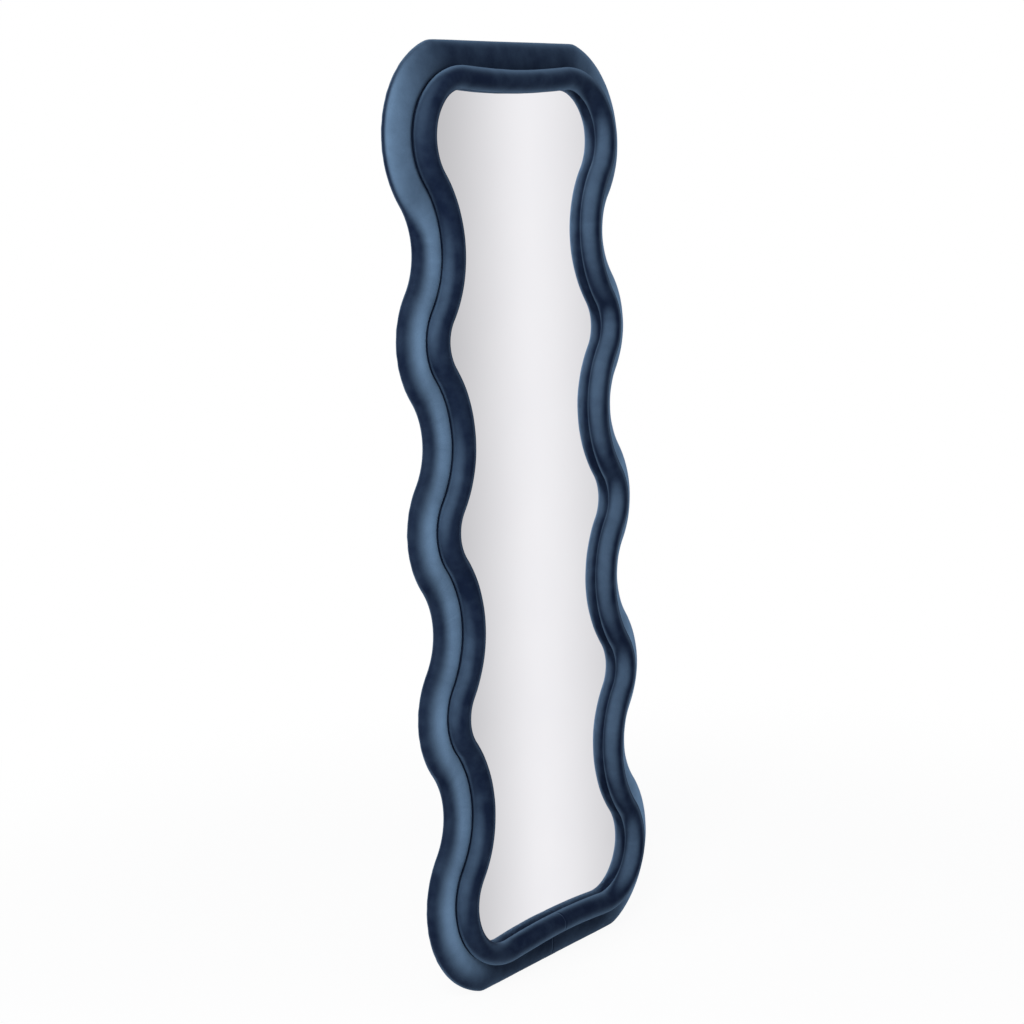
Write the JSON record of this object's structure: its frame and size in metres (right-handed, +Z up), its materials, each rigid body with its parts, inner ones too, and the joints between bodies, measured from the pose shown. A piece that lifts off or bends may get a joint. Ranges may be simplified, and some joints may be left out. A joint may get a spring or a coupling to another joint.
{
  "type": "wavy padded wall mirror",
  "caption": "Tall wavy-edged wall mirror with a stepped, padded velvet frame, a round velvet roll on the edge of the glass, flat ends and swinging D-ring hangers on the back.",
  "frame": {"origin": "centre of the back face, on the dust cover, which lies towards the wall", "axes": "+Z up the mirror's length, +Y towards the wall, +X to the right as one looks into the mirror"},
  "size_m": [0.6218, 0.066, 1.6],
  "materials": {
    "velvet": "navy cut-pile velvet",
    "foam": "open-cell polyurethane foam",
    "mdf": "sawn medium-density fibreboard",
    "plywood": "sanded birch plywood",
    "dowel_wood": "turned beech",
    "mirror": "silvered float glass",
    "film": "clear polyester safety film",
    "tape": "closed-cell foam tape",
    "dust_cloth": "black spunbond cloth",
    "steel": "zinc-plated steel",
    "nickel": "nickel-plated steel",
    "rubber": "moulded rubber"
  },
  "bodies": {
    "frame": {"base_board": "mdf", "frame_stile_left": "plywood", "frame_stile_right": "plywood", "frame_rail_top": "plywood", "frame_rail_bottom": "plywood", "cross_batten_lower": "plywood", "cross_batten_middle": "plywood", "cross_batten_upper": "plywood", "lap_dowels": "dowel_wood", "frame_screws": "steel", "mounting_tape": "tape", "safety_film": "film", "mirror_glass": "mirror", "tier_foam_left": "foam", "tier_foam_right": "foam", "tier_foam_top": "foam", "tier_foam_bottom": "foam", "tier_cover": "velvet", "roll_foam_left": "foam", "roll_foam_right": "foam", "roll_foam_top": "foam", "roll_foam_bottom": "foam", "roll_cover": "velvet", "dust_cover": "dust_cloth", "back_staples": "steel", "hanger_plate_left": "nickel", "hanger_plate_right": "nickel", "hanger_screws": "steel", "wall_bumpers": "rubber"},
    "ring_left": {"hanger_ring_left": "nickel"},
    "ring_right": {"hanger_ring_right": "nickel"}
  },
  "joints": [
    {"name": "ring_left_swing", "type": "hinge", "parent": "frame", "child": "ring_left", "pos_m": [-0.229, 0.003, 0.491], "axis": [1, 0, 0], "range_deg": [0, 180]},
    {"name": "ring_right_swing", "type": "hinge", "parent": "frame", "child": "ring_right", "pos_m": [0.229, 0.003, 0.491], "axis": [1, 0, 0], "range_deg": [0, 180]}
  ]
}
